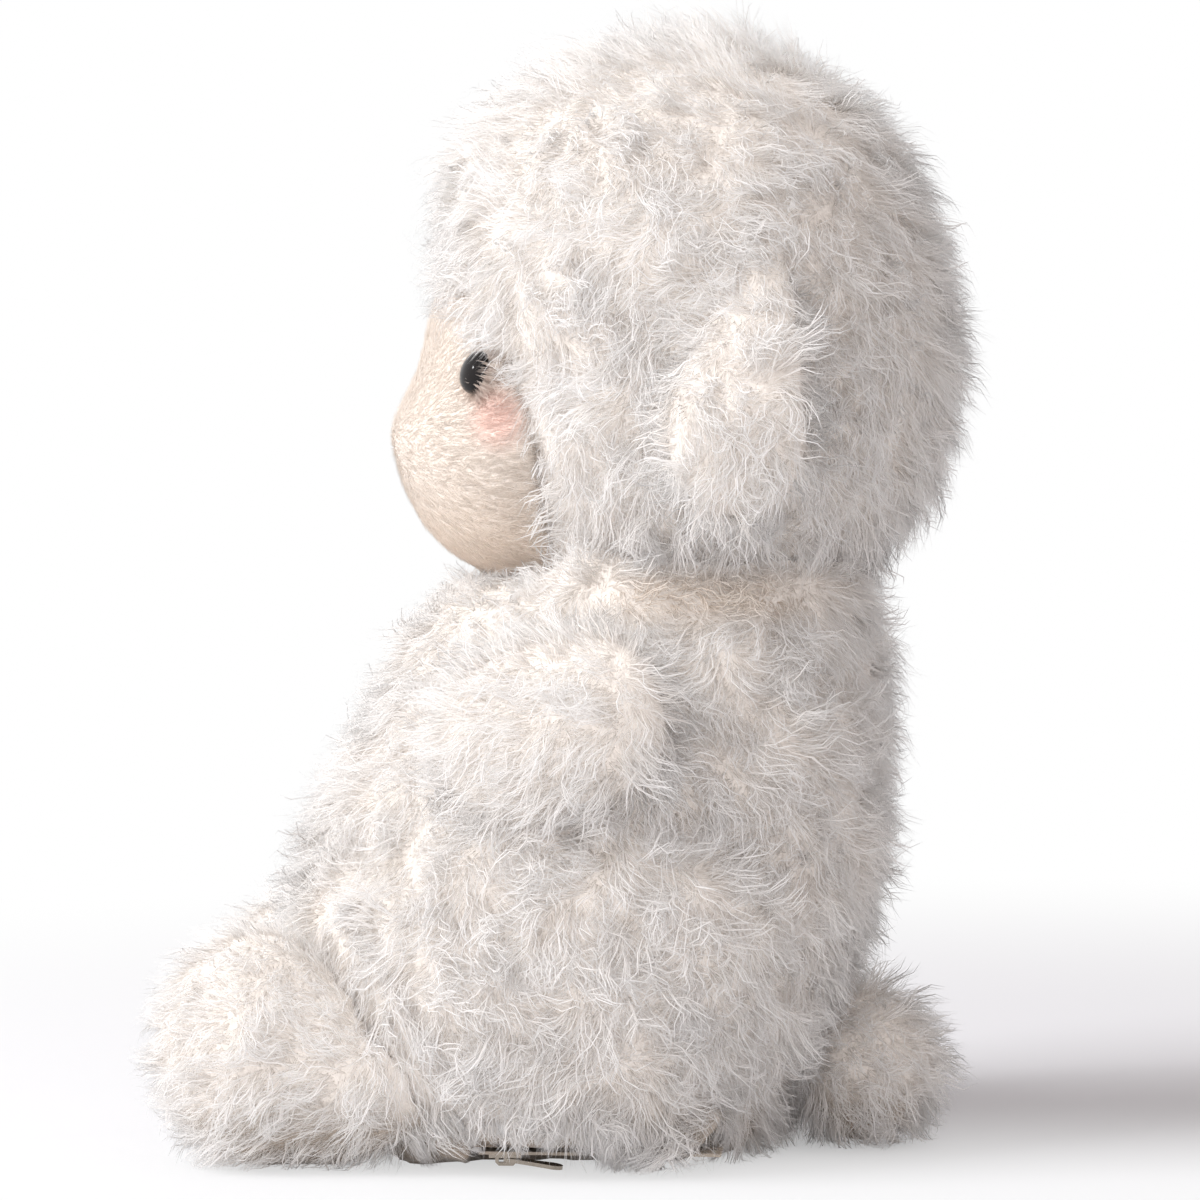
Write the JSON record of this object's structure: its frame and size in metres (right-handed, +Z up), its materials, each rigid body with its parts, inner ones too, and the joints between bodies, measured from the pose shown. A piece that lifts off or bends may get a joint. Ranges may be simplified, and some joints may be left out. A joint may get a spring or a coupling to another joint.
{
  "type": "plush sheep",
  "caption": "Seated plush sheep: zipped body of long wool cloth, turning head with a short-pile face, and ears, arms, legs and tail that move on their seams.",
  "frame": {"origin": "on the floor under the middle of the seated body", "axes": "+Z up from the floor to the crown of the head, -Y the way the face looks, +X the sheep's left side"},
  "size_m": [0.1842, 0.2145, 0.3045],
  "materials": {
    "wool_cloth": "long white pile in wavy tufts",
    "face_cloth": "short cream pile, brushed back from the muzzle",
    "lining_cloth": "plain matte weave",
    "zip_tape": "matte woven tape",
    "eye_plastic": "polished black",
    "washer_plastic": "plain moulded",
    "zip_metal": "warm nickel plate"
  },
  "bodies": {
    "torso": {"body_cover": "wool_cloth", "inner_cushion": "lining_cloth", "pellet_pouch": "lining_cloth", "zip_tape_inner": "zip_tape", "zip_tape_outer": "zip_tape", "zip_top_stop_outer": "zip_metal", "zip_top_stop_inner": "zip_metal", "zip_bottom_stop": "zip_metal"},
    "head": {"head_cover": "wool_cloth", "face_panel": "face_cloth", "head_stuffing": "lining_cloth", "left_eye": "eye_plastic", "left_eye_washer": "washer_plastic", "right_eye": "eye_plastic", "right_eye_washer": "washer_plastic"},
    "left_ear": {"left_ear": "wool_cloth"},
    "right_ear": {"right_ear": "wool_cloth"},
    "left_arm": {"left_arm": "wool_cloth"},
    "right_arm": {"right_arm": "wool_cloth"},
    "left_leg": {"left_leg": "wool_cloth"},
    "right_leg": {"right_leg": "wool_cloth"},
    "tail": {"tail": "wool_cloth"},
    "slider": {"zip_slider": "zip_metal"},
    "pull": {"zip_pull": "zip_metal"}
  },
  "joints": [
    {"name": "head_turn", "type": "hinge", "parent": "torso", "child": "head", "pos_m": [0, 0.027, 0.147], "axis": [0, 0, 1], "range_deg": [-12, 12], "stiffness_Nm_per_rad": 0.6},
    {"name": "left_ear_flop", "type": "hinge", "parent": "head", "child": "left_ear", "pos_m": [0.072, 0.044, 0.254], "axis": [0, -1, 0], "range_deg": [0, 50], "stiffness_Nm_per_rad": 0.02},
    {"name": "right_ear_flop", "type": "hinge", "parent": "head", "child": "right_ear", "pos_m": [-0.072, 0.044, 0.254], "axis": [0, 1, 0], "range_deg": [0, 50], "stiffness_Nm_per_rad": 0.02},
    {"name": "left_arm_swing", "type": "hinge", "parent": "torso", "child": "left_arm", "pos_m": [0.072, 0.014, 0.124], "axis": [-1, 0, 0], "range_deg": [-12, 40], "stiffness_Nm_per_rad": 0.15},
    {"name": "right_arm_swing", "type": "hinge", "parent": "torso", "child": "right_arm", "pos_m": [-0.072, 0.014, 0.124], "axis": [-1, 0, 0], "range_deg": [-12, 40], "stiffness_Nm_per_rad": 0.15},
    {"name": "left_leg_spread", "type": "hinge", "parent": "torso", "child": "left_leg", "pos_m": [0.058, -0.056, 0], "axis": [0, 0, 1], "range_deg": [-4, 10], "stiffness_Nm_per_rad": 0.3},
    {"name": "right_leg_spread", "type": "hinge", "parent": "torso", "child": "right_leg", "pos_m": [-0.058, -0.056, 0], "axis": [0, 0, -1], "range_deg": [-4, 10], "stiffness_Nm_per_rad": 0.3},
    {"name": "tail_wag", "type": "hinge", "parent": "torso", "child": "tail", "pos_m": [0, 0.057, 0.0245], "axis": [0, 0, 1], "range_deg": [-15, 15], "stiffness_Nm_per_rad": 0.1},
    {"name": "zip_slide", "type": "slide", "parent": "torso", "child": "slider", "axis": [0, 1, 0], "range_m": [0, 0.0492], "deforming": ["zip_tape_inner", "zip_tape_outer"]},
    {"name": "pull_flip", "type": "hinge", "parent": "slider", "child": "pull", "pos_m": [0.05, -0.0211, 0.0028], "axis": [-1, 0, 0], "range_deg": [0, 130]}
  ]
}
